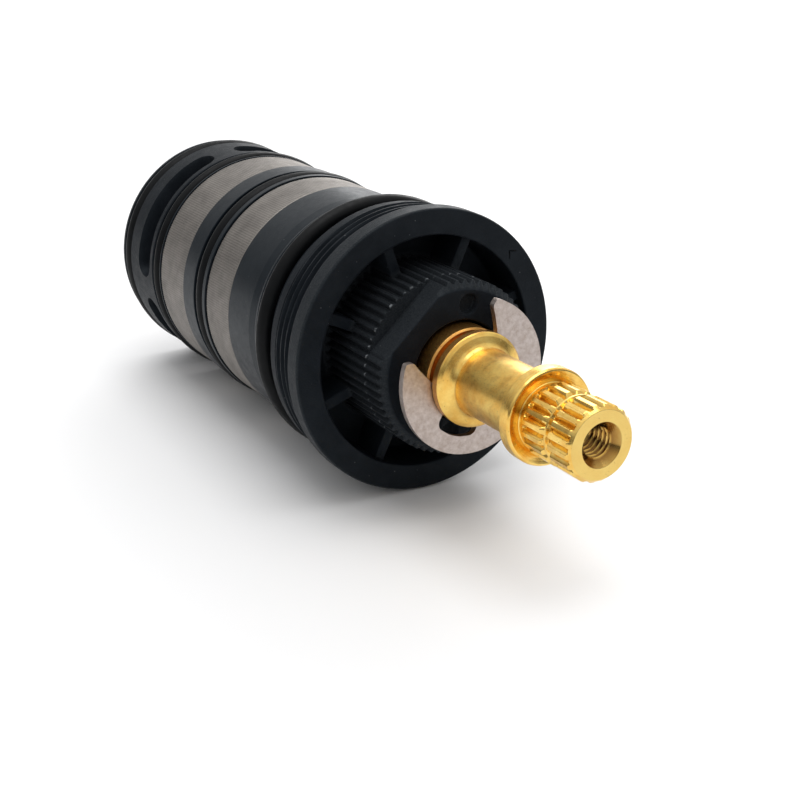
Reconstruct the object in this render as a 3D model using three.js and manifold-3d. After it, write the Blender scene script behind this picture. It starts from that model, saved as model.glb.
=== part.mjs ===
// Thermostatic shower mixing cartridge. Millimetres, +Z up.
// The axis lies along Y: the brass spindle points to -Y and the outlet tail to +Y.
// The origin is on the axis, in the plane where the flange seats on the valve body.
import * as THREE from "three";
import { mergeVertices } from "three/addons/utils/BufferGeometryUtils.js";
import Module from "manifold-3d";

const wasm = await Module();
wasm.setup();

// ---- Driving dimensions ----
const GAP = 0.3; // between pieces that touch
const SLIP = 0.05; // between a seal and its wall
const ROUND = 32; // facets of a large turned piece
const SMALL = 24; // facets of a small turned piece

const FLANGE = { r: 17, front: -2.4, back: 0 };
const RECESS = { rIn: 10.2, rOut: 13.9, floor: 3.6 };
const HUB = { rTip: 10.2, rRoot: 9.85, rFace: 9.0, face: -9.2, chamfer: 0.7, teeth: 60 };
const HUB_FLAT = { away: 8.16, back: -5.7, turn: 43 };
const RIB = { count: 8, turn: 20, width: 1.3, front: -1.2 };
const DIMPLE = { r: 1.2, at: 7.55, depth: 1, turn: -9 };
const BODY_THREAD = { rTip: 16.4, rRoot: 15.85, pitch: 1.1, front: 0.25, back: 4.65 };
const BONNET = { land: 6.0, rShelf: 15.2, shelf: 8.0, rGroove: 13.7, groove: 11.3 };
const SKIRT = { r: 13.2, back: 19.4, rBore: 5.7 };
const CHAMBER = { r: 7.9, front: 6.2 };
const KEY = { width: 2, rTop: 9, slotWidth: 2.6, rSlot: 9.4 };

const SPINDLE = { end: -35.6, groove: -31.2, foot: -27.2, collar: -26.95, collarBack: -25 };
const SPLINE = { teeth: 20, rTip: 4.15, rRoot: 3.7 };
const NECK_R = 3.9;
const FLARE = { r: 5.55, front: -13.45, back: -12.35 };
const CLIP = { r: 9.1, rSeat: 4.25, rWindow: 7, front: -12.2, back: -11.4, turn: 26 };
const JOURNAL = { r: 5.4, rRing: 5.35, front: -11.25, back: 7 };
const SHOULDER = { r: 7.2, back: 8.6 };
const DRIVE = { rTip: 4.2, rRoot: 3.6, pitch: 2.5, back: 17.4, clear: 0.25 };
const SCREW_HOLE = { r: 1.6, depth: 12, rMouth: 2.5 };

const NUT = { r: 7.6, front: 10.2, step: 15.8, back: 25.6, rChamber: 6.3 };
const CUP = { front: 22.6, back: 24.2, rFlange: 6.0, rBoss: 3.2 };
const PISTON = { r: 1.4, front: 23.2, back: 33 };
const ELEMENT = { front: 26.6, rGuide: 3.3, rFlange: 6.2, flange: 34.2, rBulb: 4.6, back: 52 };

const BODY = { r: 15.25, front: 11.6, back: 44.9, rBore: 12.6, rSocket: 13.5 };
const COLD_PORT = { front: 20.2, back: 27.2 };
const HOT_PORT = { front: 34.3, back: 42.5 };
const PORT = { rFloor: 14.5, count: 8, width: 7.2, margin: 1 };
const PARTITION = { r: 11.25, front: 27.6, back: 33.9 };
const STRAINER = { rIn: 14.7, rOut: 15.1, cells: 24 };
const SHUTTLE = { r: 11, rIn: 8.8, front: 22.8, back: 38.7, rHub: 6.8, hub: 36.1, hubBack: 38 };
const SEAT_LIFT = 1.2; // from each rim of the shuttle to its seat
const TAIL = { front: 45.05, back: 56.85, rSpigot: 12.35, rIn: 11.1, spigot: 41.9 };
const OUTLET = { front: 46.3, back: 49.8, count: 4, span: 76, turn: 55 };

// O-rings: middle of the section along the axis, mean radius and section radius.
const BONNET_SEAL = { y: 9.65, r: 15.0, section: 1.25 };
const MIDDLE_SEAL = { y: 29.4, r: 14.25, section: 1.15 };
const REAR_SEAL = { y: 43.85, r: 14.5, section: 0.95 };
const TAIL_SEAL = { y: 54.6, r: 14.1, section: 1.25 };
const SPINDLE_SEAL = { front: -4, rear: 1, r: 4.85, section: 0.8 };
const SHUTTLE_SEAL = { y: 30.7, r: 10.49, section: 0.7 };

// ---- Shared shape makers ----
const radians = (degrees) => (degrees * Math.PI) / 180;

// A point of the plane across the axis: degrees count from +Z towards -X.
const polar = (r, degrees) => [-r * Math.sin(radians(degrees)), r * Math.cos(radians(degrees))];

// A closed solid from a geometry, with its faces turned to point outwards.
function solid(geometry) {
  geometry.deleteAttribute("normal");
  geometry.deleteAttribute("uv");
  const merged = mergeVertices(geometry, 1e-4);
  const points = merged.attributes.position.array;
  const faces = new Uint32Array(merged.index.array);
  const kept = [];
  let volume = 0;
  for (let i = 0; i < faces.length; i += 3) {
    const [a, b, c] = [faces[i], faces[i + 1], faces[i + 2]];
    if (a === b || b === c || c === a) continue;
    kept.push(a, b, c);
    const [p, q, s] = [a, b, c].map((v) => new THREE.Vector3().fromArray(points, 3 * v));
    volume += p.dot(q.cross(s));
  }
  if (volume < 0) kept.reverse();
  const mesh = new wasm.Mesh({
    numProp: 3,
    vertProperties: points,
    triVerts: new Uint32Array(kept),
  });
  return new wasm.Manifold(mesh);
}

// A piece turned round the axis. The profile lists [y, r], starts and ends on the axis or closes on itself.
function turned(profile, facets = ROUND) {
  const points = profile.map(([y, r]) => new THREE.Vector2(r, y));
  return solid(new THREE.LatheGeometry(points, facets));
}

// A ring turned round the axis: its profile is closed here.
const ring = (profile, facets = ROUND) => turned([...profile, profile[0]], facets);

// A plain tube from y0 to y1.
const tube = (rIn, rOut, y0, y1, facets = ROUND) =>
  ring([[y0, rIn], [y0, rOut], [y1, rOut], [y1, rIn]], facets);

// A plain round bar from y0 to y1.
const bar = (r, y0, y1, facets = SMALL) => turned([[y0, 0], [y0, r], [y1, r], [y1, 0]], facets);

function oRing({ y, r, section }, facets = ROUND, sides = 6) {
  const profile = [];
  for (let i = 0; i < sides; i++) {
    const t = (2 * Math.PI * i) / sides;
    profile.push([y + section * Math.sin(t), r + section * Math.cos(t)]);
  }
  return ring(profile, facets);
}

// A flat outline in the plane across the axis, given as [x, z] points, pulled from y0 to y1.
function prism(outline, y0, y1) {
  const shape = new THREE.Shape(outline.map(([x, z]) => new THREE.Vector2(x, z)));
  const geometry = new THREE.ExtrudeGeometry(shape, { depth: y1 - y0, bevelEnabled: false });
  const position = geometry.attributes.position;
  for (let i = 0; i < position.count; i++)
    position.setXYZ(i, position.getX(i), y0 + position.getZ(i), position.getY(i));
  return solid(geometry);
}

// A block that stands out from the axis at an angle: width across, r0 to r1 outwards, y0 to y1 along.
function block(width, r0, r1, y0, y1, degrees) {
  const geometry = new THREE.BoxGeometry(width, y1 - y0, r1 - r0);
  geometry.translate(0, (y0 + y1) / 2, (r0 + r1) / 2);
  geometry.rotateY(-radians(degrees));
  return solid(geometry);
}

// Rings of points joined one to the next, with both ends closed to the axis.
function loft(stations, sides, radiusAt) {
  const points = [];
  const faces = [];
  stations.forEach((station, i) => {
    for (let k = 0; k < sides; k++) {
      const r = radiusAt(station, k / sides, k);
      const t = (2 * Math.PI * k) / sides;
      points.push(r * Math.sin(t), station.y, r * Math.cos(t));
      const [a, b] = [i * sides + k, i * sides + ((k + 1) % sides)];
      if (i + 1 < stations.length) faces.push(a, b, b + sides, a, b + sides, a + sides);
    }
  });
  const ends = [
    [stations[0].y, 0],
    [stations[stations.length - 1].y, (stations.length - 1) * sides],
  ];
  ends.forEach(([y, first], end) => {
    const middle = points.length / 3;
    points.push(0, y, 0);
    for (let k = 0; k < sides; k++) {
      const edge = [first + k, first + ((k + 1) % sides)];
      faces.push(middle, ...(end ? edge : edge.reverse()));
    }
  });
  const geometry = new THREE.BufferGeometry();
  geometry.setAttribute("position", new THREE.Float32BufferAttribute(points, 3));
  geometry.setIndex(faces);
  return solid(geometry);
}

// A bar with a screw thread. A left-hand thread runs the other way round.
function threadedBar({ rTip, rRoot, pitch }, y0, y1, sides, perPitch, leftHand = false) {
  const rows = Math.round(((y1 - y0) / pitch) * perPitch);
  const stations = [];
  for (let i = 0; i <= rows; i++) stations.push({ y: y0 + ((y1 - y0) * i) / rows });
  const hand = leftHand ? 1 : -1;
  return loft(stations, sides, ({ y }, turn) => {
    const phase = y / pitch + hand * turn;
    const rise = Math.abs(2 * (phase - Math.floor(phase)) - 1);
    const flat = Math.min(1, Math.max(0, 1.5 * rise - 0.25));
    return rRoot + (rTip - rRoot) * flat;
  });
}

// A bar with straight teeth along it. Each station gives y and how far the teeth stand, from 0 to 1.
function toothedBar(stations, teeth, rTip, rRoot, steps) {
  return loft(stations, teeth * steps.length, (station, turn, k) => {
    const tooth = rRoot + (rTip - rRoot) * steps[k % steps.length];
    return Math.min(tooth, station.most ?? tooth);
  });
}

class Helix extends THREE.Curve {
  constructor(r, y0, y1, turns) {
    super();
    Object.assign(this, { r, y0, y1, turns });
  }
  getPoint(t, target = new THREE.Vector3()) {
    const turn = 2 * Math.PI * this.turns * t;
    const y = this.y0 + (this.y1 - this.y0) * t;
    return target.set(this.r * Math.sin(turn), y, this.r * Math.cos(turn));
  }
}

function spring(r, wire, y0, y1, turns) {
  const corners = [0, 1, 2, 3, 4].map((i) => {
    const t = (2 * Math.PI * i) / 5;
    return new THREE.Vector2(wire * Math.cos(t), wire * Math.sin(t));
  });
  const extrudePath = new Helix(r, y0 + wire, y1 - wire, turns);
  const steps = Math.round(turns * 10);
  const shape = new THREE.Shape(corners);
  return solid(new THREE.ExtrudeGeometry(shape, { extrudePath, steps, bevelEnabled: false }));
}

// ---- Head: bonnet, spindle and what rides on it ----
function toothedHub() {
  const { rTip, rRoot, rFace, face, chamfer, teeth } = HUB;
  const stations = [{ y: face, most: rFace }, { y: face + chamfer }, { y: RECESS.floor + 0.5 }];
  let hub = toothedBar(stations, teeth, rTip, rRoot, [1, 0]);
  for (const side of [0, 180]) {
    const turn = HUB_FLAT.turn + side;
    hub = hub.subtract(block(20, HUB_FLAT.away, 13, face - 1, HUB_FLAT.back, turn));
  }
  return hub;
}

function bonnetShell() {
  const { front, back, r } = FLANGE;
  const t = BODY_THREAD;
  const outside = [
    [RECESS.floor, 0], [RECESS.floor, RECESS.rOut - 0.3], [front, RECESS.rOut],
    [front, r - 0.4], [front + 0.4, r], [back, r], [back, t.rRoot - 0.15],
    [t.back, t.rRoot - 0.15], [t.back, 16.2], [BONNET.land, 16.2],
    [BONNET.land, BONNET.rShelf], [BONNET.shelf, BONNET.rShelf],
    [BONNET.shelf, BONNET.rGroove], [BONNET.groove, BONNET.rGroove],
    [BONNET.groove, SKIRT.r], [SKIRT.back, SKIRT.r], [SKIRT.back, 0],
  ];
  return turned(outside);
}

// The outside thread as a ring, so that it joins the shell without cutting into its inside.
function outsideThread() {
  const t = BODY_THREAD;
  return threadedBar(t, t.front, t.back, ROUND, 4).subtract(bar(14, -1, 6));
}

function ribs() {
  const made = [];
  for (let i = 0; i < RIB.count; i++) {
    const turn = RIB.turn + (360 / RIB.count) * i;
    const inner = RECESS.rIn - 0.7;
    made.push(block(RIB.width, inner, RECESS.rOut + 0.2, RIB.front, RECESS.floor + 0.4, turn));
  }
  return made;
}

function bonnet() {
  let body = bonnetShell().add(toothedHub()).add(outsideThread());
  for (const rib of ribs()) body = body.add(rib);
  const cuts = [
    bar(SKIRT.rBore, HUB.face - 1, CHAMBER.front + 1),
    bar(CHAMBER.r, CHAMBER.front, SKIRT.back + 1),
    block(KEY.slotWidth, 5, KEY.rSlot, 9, SKIRT.back + 1, 0),
    block(KEY.slotWidth, 5, KEY.rSlot, 9, SKIRT.back + 1, 180),
  ];
  for (const side of [0, 180]) {
    const [x, z] = polar(DIMPLE.at, DIMPLE.turn + side);
    const hole = bar(DIMPLE.r, HUB.face - 1, HUB.face + DIMPLE.depth, 12);
    cuts.push(hole.translate([x, 0, z]));
  }
  for (const cut of cuts) body = body.subtract(cut);
  return body;
}

function spindleShaft() {
  const seat = CLIP.rSeat - 0.15;
  const sealRoot = SPINDLE_SEAL.r - SPINDLE_SEAL.section - SLIP;
  const grooveAt = (y) => [
    [y - 1, JOURNAL.r], [y - 1, sealRoot], [y + 1, sealRoot], [y + 1, JOURNAL.r],
  ];
  return turned([
    [SPINDLE.groove - 1, 0], [SPINDLE.groove - 1, 3.5], [SPINDLE.foot, 3.5],
    [SPINDLE.foot, 3.75], [SPINDLE.collar, 3.75], [SPINDLE.collar, 5.1],
    [SPINDLE.collar + 0.2, 5.32], [SPINDLE.collarBack, 5.32], [SPINDLE.collarBack + 0.3, 4.4],
    [SPINDLE.collarBack + 1.2, NECK_R], [FLARE.front - 2.2, NECK_R], [FLARE.front - 0.7, 4.5],
    [FLARE.front, FLARE.r - 0.15], [FLARE.front + 0.15, FLARE.r], [FLARE.back, FLARE.r],
    [FLARE.back, seat], [JOURNAL.front, seat], [JOURNAL.front, JOURNAL.rRing],
    [HUB.face + 0.3, JOURNAL.rRing], [HUB.face + 0.6, JOURNAL.r],
    ...grooveAt(SPINDLE_SEAL.front), ...grooveAt(SPINDLE_SEAL.rear),
    [JOURNAL.back, JOURNAL.r], [JOURNAL.back, SHOULDER.r], [SHOULDER.back, SHOULDER.r],
    [SHOULDER.back, 3.4], [DRIVE.back - 1, 3.4], [DRIVE.back - 1, 0],
  ], SMALL);
}

function splines() {
  const { teeth, rTip, rRoot } = SPLINE;
  const outline = [0, 1, 1];
  const front = [
    { y: SPINDLE.end, most: 3.75 }, { y: SPINDLE.end + 0.5 }, { y: SPINDLE.groove - 0.25 },
  ];
  const rear = [{ y: SPINDLE.groove + 0.25 }, { y: SPINDLE.foot - 0.25 }];
  const make = (stations) => toothedBar(stations, teeth, rTip, rRoot, outline);
  return make(front).add(make(rear));
}

function spindle() {
  const drive = threadedBar(DRIVE, SHOULDER.back - 0.4, DRIVE.back, 16, 4, true);
  const hole = turned([
    [SPINDLE.end - 1, 0], [SPINDLE.end - 1, SCREW_HOLE.rMouth], [SPINDLE.end, SCREW_HOLE.rMouth],
    [SPINDLE.end + 0.9, SCREW_HOLE.r], [SPINDLE.end + SCREW_HOLE.depth, SCREW_HOLE.r],
    [SPINDLE.end + SCREW_HOLE.depth, 0],
  ], 20);
  return spindleShaft().add(splines()).add(drive).subtract(hole);
}

// Open towards CLIP.turn, with two side prongs and one middle prong on the spindle's groove.
function eClip() {
  const outline = [];
  const corner = (r, at) => outline.push(polar(r, CLIP.turn + at));
  const arc = (r, from, to, steps) => {
    for (let i = 0; i <= steps; i++) corner(r, from + ((to - from) * i) / steps);
  };
  arc(CLIP.r, 44, 316, 30);
  corner(7.4, 312);
  corner(5.9, 304);
  arc(CLIP.rSeat, 285, 258, 3);
  arc(CLIP.rWindow, 249, 203, 6);
  arc(CLIP.rSeat, 195, 165, 3);
  arc(CLIP.rWindow, 157, 111, 6);
  arc(CLIP.rSeat, 102, 75, 3);
  corner(5.9, 56);
  corner(7.4, 48);
  return prism(outline, CLIP.front, CLIP.back);
}

// ---- Drive: nut, overload spring and cup ----
function regulatingNut() {
  const clear = DRIVE.clear;
  const inside = { ...DRIVE, rTip: DRIVE.rTip + clear, rRoot: DRIVE.rRoot + clear };
  const groove = NUT.back - 1.2;
  let nut = bar(NUT.r, NUT.front, NUT.back, ROUND);
  for (const side of [0, 180])
    nut = nut.add(block(KEY.width, 5, KEY.rTop, NUT.front + 0.6, 17, side));
  return nut
    .subtract(threadedBar(inside, NUT.front - 0.5, NUT.step + 0.5, 16, 4, true))
    .subtract(bar(NUT.rChamber, NUT.step, NUT.back + 1))
    .subtract(bar(7.05, groove, groove + 0.9));
}

function retainingRing() {
  const groove = NUT.back - 1.2;
  const gapHalf = 20;
  const outline = [];
  for (let i = 0; i <= 24; i++)
    outline.push(polar(6.95, gapHalf + ((360 - 2 * gapHalf) * i) / 24));
  for (let i = 24; i >= 0; i--)
    outline.push(polar(5.3, gapHalf + ((360 - 2 * gapHalf) * i) / 24));
  return prism(outline, groove + 0.1, groove + 0.8);
}

function springCup() {
  const { front, back, rFlange, rBoss } = CUP;
  return turned([
    [front - 1.5, 0], [front - 1.5, rBoss], [front, rBoss], [front, rFlange],
    [back - 0.1, rFlange], [back - 0.1, PISTON.r + 0.2], [front + 0.4, PISTON.r + 0.2],
    [front + 0.4, 0],
  ], SMALL);
}

const elementPiston = () => bar(PISTON.r, PISTON.front, PISTON.back, 20);

// ---- Wax element and shuttle ----
function elementGuide() {
  const { front, rGuide, rFlange, flange } = ELEMENT;
  const bore = PISTON.r + 0.2;
  const depth = PISTON.back + 2.4;
  return turned([
    [depth, 0], [depth, bore], [front, bore], [front, rGuide], [flange, rGuide],
    [flange, rFlange], [flange + 1.6, rFlange], [flange + 1.6, 4.1], [flange + 3, 4.1],
    [flange + 3, 0],
  ], SMALL);
}

function elementBulb() {
  const { flange, rBulb, back } = ELEMENT;
  const front = flange + 1.9;
  return turned([
    [front + 1.6, 0], [front + 1.6, 4.3], [front, 4.3], [front, rBulb], [back - 1.6, rBulb],
    [back - 0.5, rBulb - 0.6], [back, rBulb - 1.6], [back, 0],
  ], SMALL);
}

function shuttle() {
  const s = SHUTTLE;
  const sealRoot = SHUTTLE_SEAL.r - SHUTTLE_SEAL.section - SLIP;
  const half = SHUTTLE_SEAL.section + 0.15;
  let body = ring([
    [s.front, s.rIn + 0.9], [s.front, s.r - 0.4], [s.front + 0.4, s.r],
    [SHUTTLE_SEAL.y - half, s.r], [SHUTTLE_SEAL.y - half, sealRoot],
    [SHUTTLE_SEAL.y + half, sealRoot], [SHUTTLE_SEAL.y + half, s.r],
    [s.back - 0.4, s.r], [s.back, s.r - 0.4], [s.back, s.rIn + 0.9], [s.back - 1.2, s.rIn],
    [s.front + 1.2, s.rIn],
  ]);
  body = body.add(tube(ELEMENT.rBulb + 0.2, s.rHub, s.hub, s.hubBack, SMALL));
  for (const turn of [45, 135, 225, 315])
    body = body.add(block(2, s.rHub - 0.4, s.rIn + 0.6, s.hub, s.hubBack, turn));
  return body;
}

// ---- Body, ports, seats and strainers ----
function bodyShell() {
  const b = BODY;
  const m = MIDDLE_SEAL;
  const seat = m.r - m.section - SLIP;
  const rear = REAR_SEAL.r - REAR_SEAL.section - SLIP;
  const lip = REAR_SEAL.section + 0.2;
  return ring([
    [b.front, b.rSocket], [b.front, b.r - 0.3], [b.front + 0.3, b.r],
    [COLD_PORT.front, b.r], [COLD_PORT.front, PORT.rFloor], [COLD_PORT.back, PORT.rFloor],
    [COLD_PORT.back, b.r], [m.y - 1.45, b.r], [m.y - 1.45, seat], [m.y + 1.45, seat],
    [m.y + 1.45, b.r], [HOT_PORT.front, b.r], [HOT_PORT.front, PORT.rFloor],
    [HOT_PORT.back, PORT.rFloor], [HOT_PORT.back, b.r - 0.1], [REAR_SEAL.y - lip, b.r - 0.1],
    [REAR_SEAL.y - lip, rear], [b.back, rear], [b.back, b.rBore],
    [PARTITION.back, b.rBore], [PARTITION.back, PARTITION.r], [PARTITION.front, PARTITION.r],
    [PARTITION.front, b.rBore], [COLD_PORT.front - 0.4, b.rBore],
    [COLD_PORT.front - 0.4, b.rSocket],
  ]);
}

function bodySleeve() {
  let body = bodyShell();
  for (const port of [COLD_PORT, HOT_PORT])
    for (let i = 0; i < PORT.count; i++) {
      const turn = (360 / PORT.count) * i;
      const [y0, y1] = [port.front + PORT.margin, port.back - PORT.margin];
      body = body.subtract(block(PORT.width, 10, 16, y0, y1, turn));
    }
  return body;
}

// A band of woven mesh, opened here as one row of cells round the band.
function strainer(port) {
  const { rIn, rOut, cells } = STRAINER;
  const [y0, y1] = [port.front + 0.2, port.back - 0.2];
  let band = tube(rIn, rOut, y0, y1, cells);
  const width = (2 * Math.PI * rOut) / cells - 1.1;
  for (let i = 0; i < cells; i++) {
    const turn = (360 / cells) * (i + 0.5);
    band = band.subtract(block(width, 13, 17, y0 + 1, y1 - 1, turn));
  }
  return band;
}

function coldSeat() {
  const face = SHUTTLE.front - SEAT_LIFT;
  return ring([
    [face - 1.7, 8.3], [face - 1.7, 12.3], [face - 0.5, 12.3], [face - 0.5, 11.6],
    [face, 11.2], [face, 9],
  ]);
}

function hotSeat() {
  const face = SHUTTLE.back + SEAT_LIFT;
  return ring([
    [face, 9.2], [face, 11.2], [face + 0.5, 11.6], [face + 0.5, 12.3],
    [face + 1.7, 12.3], [face + 1.7, 8.9],
  ]);
}

// ---- Tail ----
function tailCage() {
  const { front, back, rSpigot, rIn, spigot } = TAIL;
  const s = TAIL_SEAL;
  const seat = s.r - s.section - SLIP;
  const shell = ring([
    [spigot, rIn], [spigot, rSpigot], [front, rSpigot], [front, BODY.r - 0.2],
    [front + 0.2, BODY.r], [s.y - 1.6, BODY.r], [s.y - 1.6, seat], [s.y + 1.5, seat],
    [s.y + 1.5, BODY.r - 0.2], [back - 0.3, BODY.r - 0.2], [back, BODY.r - 0.5],
    [back, 9], [52.6, 9], [52.6, rIn],
  ]);
  let cage = shell;
  for (let i = 0; i < OUTLET.count; i++) {
    const turn = OUTLET.turn + (360 / OUTLET.count) * i;
    cage = cage.subtract(outletSlot(turn));
  }
  return cage;
}

function outletSlot(turn) {
  const outline = [];
  const half = OUTLET.span / 2;
  const steps = 8;
  for (let i = 0; i <= steps; i++)
    outline.push(polar(17, turn - half + (OUTLET.span * i) / steps));
  for (let i = steps; i >= 0; i--)
    outline.push(polar(9.5, turn - half + (OUTLET.span * i) / steps));
  return prism(outline, OUTLET.front, OUTLET.back);
}

// A disc with a rim that carries the return spring, with holes that let the water past.
function springSeat() {
  const front = 51;
  let seat = ring([
    [front, 5.2], [front, 10.8], [front + 1.3, 10.8], [front + 1.3, 5.2],
  ]);
  for (const turn of [0, 60, 120, 180, 240, 300]) {
    const [x, z] = polar(9.2, turn);
    seat = seat.subtract(bar(0.9, front - 1, front + 3, 10).translate([x, 0, z]));
  }
  return seat;
}

// ---- Assembly ----
const finish = (color, metalness, roughness) => ({ color, metalness, roughness });
const LOOKS = {
  blackPlastic: finish(0x26292c, 0, 0.6),
  greyPlastic: finish(0x4a4d50, 0, 0.5),
  whitePlastic: finish(0xd8d6cc, 0, 0.4),
  rubber: finish(0x15171a, 0, 0.5),
  brass: finish(0xd8a63c, 1, 0.3),
  copper: finish(0xb87048, 1, 0.35),
  steel: finish(0xc9c7c4, 1, 0.35),
  mesh: finish(0xb8b2a8, 1, 0.5),
};

const cartridge = new THREE.Group();
cartridge.name = "cartridge";

function addPart(name, made, look) {
  const mesh = made.getMesh();
  const geometry = new THREE.BufferGeometry();
  const points = new Float32Array(mesh.vertProperties);
  geometry.setAttribute("position", new THREE.BufferAttribute(points, 3));
  geometry.setIndex(new THREE.BufferAttribute(new Uint32Array(mesh.triVerts), 1));
  geometry.computeVertexNormals();
  const part = new THREE.Mesh(geometry, new THREE.MeshStandardMaterial(LOOKS[look]));
  part.name = name;
  cartridge.add(part);
}

const spindleSeal = (y) => oRing({ ...SPINDLE_SEAL, y }, SMALL);

addPart("bonnet", bonnet(), "blackPlastic");
addPart("bonnet_o_ring", oRing(BONNET_SEAL), "rubber");
addPart("spindle", spindle(), "brass");
addPart("e_clip", eClip(), "steel");
addPart("spindle_o_ring_front", spindleSeal(SPINDLE_SEAL.front), "rubber");
addPart("spindle_o_ring_rear", spindleSeal(SPINDLE_SEAL.rear), "rubber");
addPart("thrust_washer", tube(5.75, 7.3, 6.3, 6.85, SMALL), "whitePlastic");
addPart("regulating_nut", regulatingNut(), "brass");
addPart("overload_spring", spring(5.35, 0.5, NUT.step + 0.2, CUP.front - 0.2, 4.5), "steel");
addPart("spring_cup", springCup(), "steel");
addPart("nut_retaining_ring", retainingRing(), "steel");
addPart("element_piston", elementPiston(), "steel");
addPart("element_guide", elementGuide(), "brass");
addPart("element_bulb", elementBulb(), "copper");
addPart("shuttle", shuttle(), "whitePlastic");
addPart("shuttle_seal", oRing(SHUTTLE_SEAL), "rubber");
addPart("body_sleeve", bodySleeve(), "greyPlastic");
addPart("cold_strainer", strainer(COLD_PORT), "mesh");
addPart("hot_strainer", strainer(HOT_PORT), "mesh");
addPart("middle_o_ring", oRing(MIDDLE_SEAL), "rubber");
addPart("rear_o_ring", oRing(REAR_SEAL), "rubber");
addPart("cold_seat", coldSeat(), "steel");
addPart("hot_seat", hotSeat(), "steel");
addPart("tail_cage", tailCage(), "blackPlastic");
addPart("tail_o_ring", oRing(TAIL_SEAL), "rubber");
addPart("return_spring", spring(7.4, 0.6, SHUTTLE.hubBack + 0.2, 50.8, 5), "steel");
addPart("spring_seat", springSeat(), "steel");

export default cartridge;
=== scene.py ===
"""Looks of a thermostatic shower cartridge. The axis lies along Y, the spindle points to -Y."""
import math

import bmesh
import bpy
import numpy as np
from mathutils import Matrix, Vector


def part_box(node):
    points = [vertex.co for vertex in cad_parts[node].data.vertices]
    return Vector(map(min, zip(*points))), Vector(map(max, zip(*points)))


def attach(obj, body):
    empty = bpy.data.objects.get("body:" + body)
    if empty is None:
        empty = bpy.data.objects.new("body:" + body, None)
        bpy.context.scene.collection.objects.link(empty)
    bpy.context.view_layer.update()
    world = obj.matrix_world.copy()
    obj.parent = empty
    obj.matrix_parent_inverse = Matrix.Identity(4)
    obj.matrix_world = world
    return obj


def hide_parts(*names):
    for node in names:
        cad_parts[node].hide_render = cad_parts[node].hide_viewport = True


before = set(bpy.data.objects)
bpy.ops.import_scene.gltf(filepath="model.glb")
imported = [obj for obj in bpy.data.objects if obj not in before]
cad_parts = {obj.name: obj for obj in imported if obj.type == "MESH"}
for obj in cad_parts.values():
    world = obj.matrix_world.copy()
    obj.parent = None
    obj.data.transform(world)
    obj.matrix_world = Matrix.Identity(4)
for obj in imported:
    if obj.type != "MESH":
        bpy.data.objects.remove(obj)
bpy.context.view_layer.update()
MM = 0.001
TAU = 2 * math.pi

# ---- Camera: the photograph's angle, with the axis level and the spindle towards the viewer ----
AZIMUTH = math.radians(-30.2)
ELEVATION = math.radians(20.4)
CAMERA_FROM_FLANGE = Vector((-87.36, -143.69, 56.63)) * MM
LENS = 68.68
SENSOR_WIDTH = 36
NEAREST_SEEN = 0.005
HUB_LENGTH = 6.8
FLANGE_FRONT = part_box("bonnet")[0][1] + HUB_LENGTH * MM

camera = bpy.data.objects.new("camera", bpy.data.cameras.new("camera"))
camera.data.lens = LENS
camera.data.sensor_width = SENSOR_WIDTH
camera.data.clip_start = NEAREST_SEEN
camera.location = Vector((0, FLANGE_FRONT, 0)) + CAMERA_FROM_FLANGE
camera.rotation_euler = (math.pi / 2 - ELEVATION, 0, AZIMUTH)
bpy.context.collection.objects.link(camera)
bpy.context.scene.camera = camera


# ---- Sizes read from the CAD, in millimetres ----
def span(node_name):
    """(first y, last y, outer radius) of a CAD node."""
    low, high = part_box(node_name)
    return low[1] / MM, high[1] / MM, high[2] / MM


def stretch(node_name):
    """(first y, last y) of a CAD node."""
    return span(node_name)[:2]


GLAND_CLEARANCE = 0.05


def gland(ring_name, front_room, back_room):
    """(first y, last y, floor radius) of the groove that an O-ring lies in."""
    front, back, outside = span(ring_name)
    return front - front_room, back + back_room, outside - (back - front) - GLAND_CLEARANCE


# ---- Shape makers ----
SHARP_ANGLE = 35
BEVEL_FROM = 30


def rounded(corners, steps=4, support=0.04, closed=True):
    """Turns [(y, r, fillet)] into points, each corner filleted and held by a point on either side."""
    nearly_straight = math.pi - 0.02
    most_of_a_side = 0.45
    tiny_fillet = 0.07
    points = []
    count = len(corners)
    for i, corner in enumerate(corners):
        here = np.array(corner[:2], float)
        fillet = corner[2] if len(corner) > 2 else 0
        if not fillet or (not closed and i in (0, count - 1)):
            points.append(here)
            continue
        before = np.array(corners[i - 1][:2], float)
        after = np.array(corners[(i + 1) % count][:2], float)
        to_before = before - here
        to_after = after - here
        long_before = np.linalg.norm(to_before)
        long_after = np.linalg.norm(to_after)
        to_before /= long_before
        to_after /= long_after
        between = math.acos(max(-1.0, min(1.0, float(to_before @ to_after))))
        if between > nearly_straight:
            points.append(here)
            continue
        reach = fillet / math.tan(between / 2)
        reach = min(reach, most_of_a_side * long_before, most_of_a_side * long_after)
        radius = reach * math.tan(between / 2)
        middle = to_before + to_after
        middle /= np.linalg.norm(middle)
        centre = here + middle * radius / math.sin(between / 2)
        start = here + to_before * reach
        end = here + to_after * reach
        if long_before > reach + 2 * support:
            points.append(start + to_before * support)
        a = start - centre
        b = end - centre
        turn = math.pi - between
        parts = steps if fillet > tiny_fillet else 2
        for k in range(parts + 1):
            t = k / parts
            swing = (math.sin((1 - t) * turn) * a + math.sin(t * turn) * b) / math.sin(turn)
            points.append(centre + swing)
        if long_after > reach + 2 * support:
            points.append(end + to_after * support)
    return points


def object_from(name, points, faces, smooth_below=SHARP_ANGLE):
    mesh = bpy.data.meshes.new(name)
    mesh.from_pydata(points, [], faces)
    mesh.update()
    mesh.shade_smooth()
    mesh.set_sharp_from_angle(angle=math.radians(smooth_below))
    made = bpy.data.objects.new(name, mesh)
    bpy.context.collection.objects.link(made)
    return made


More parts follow.
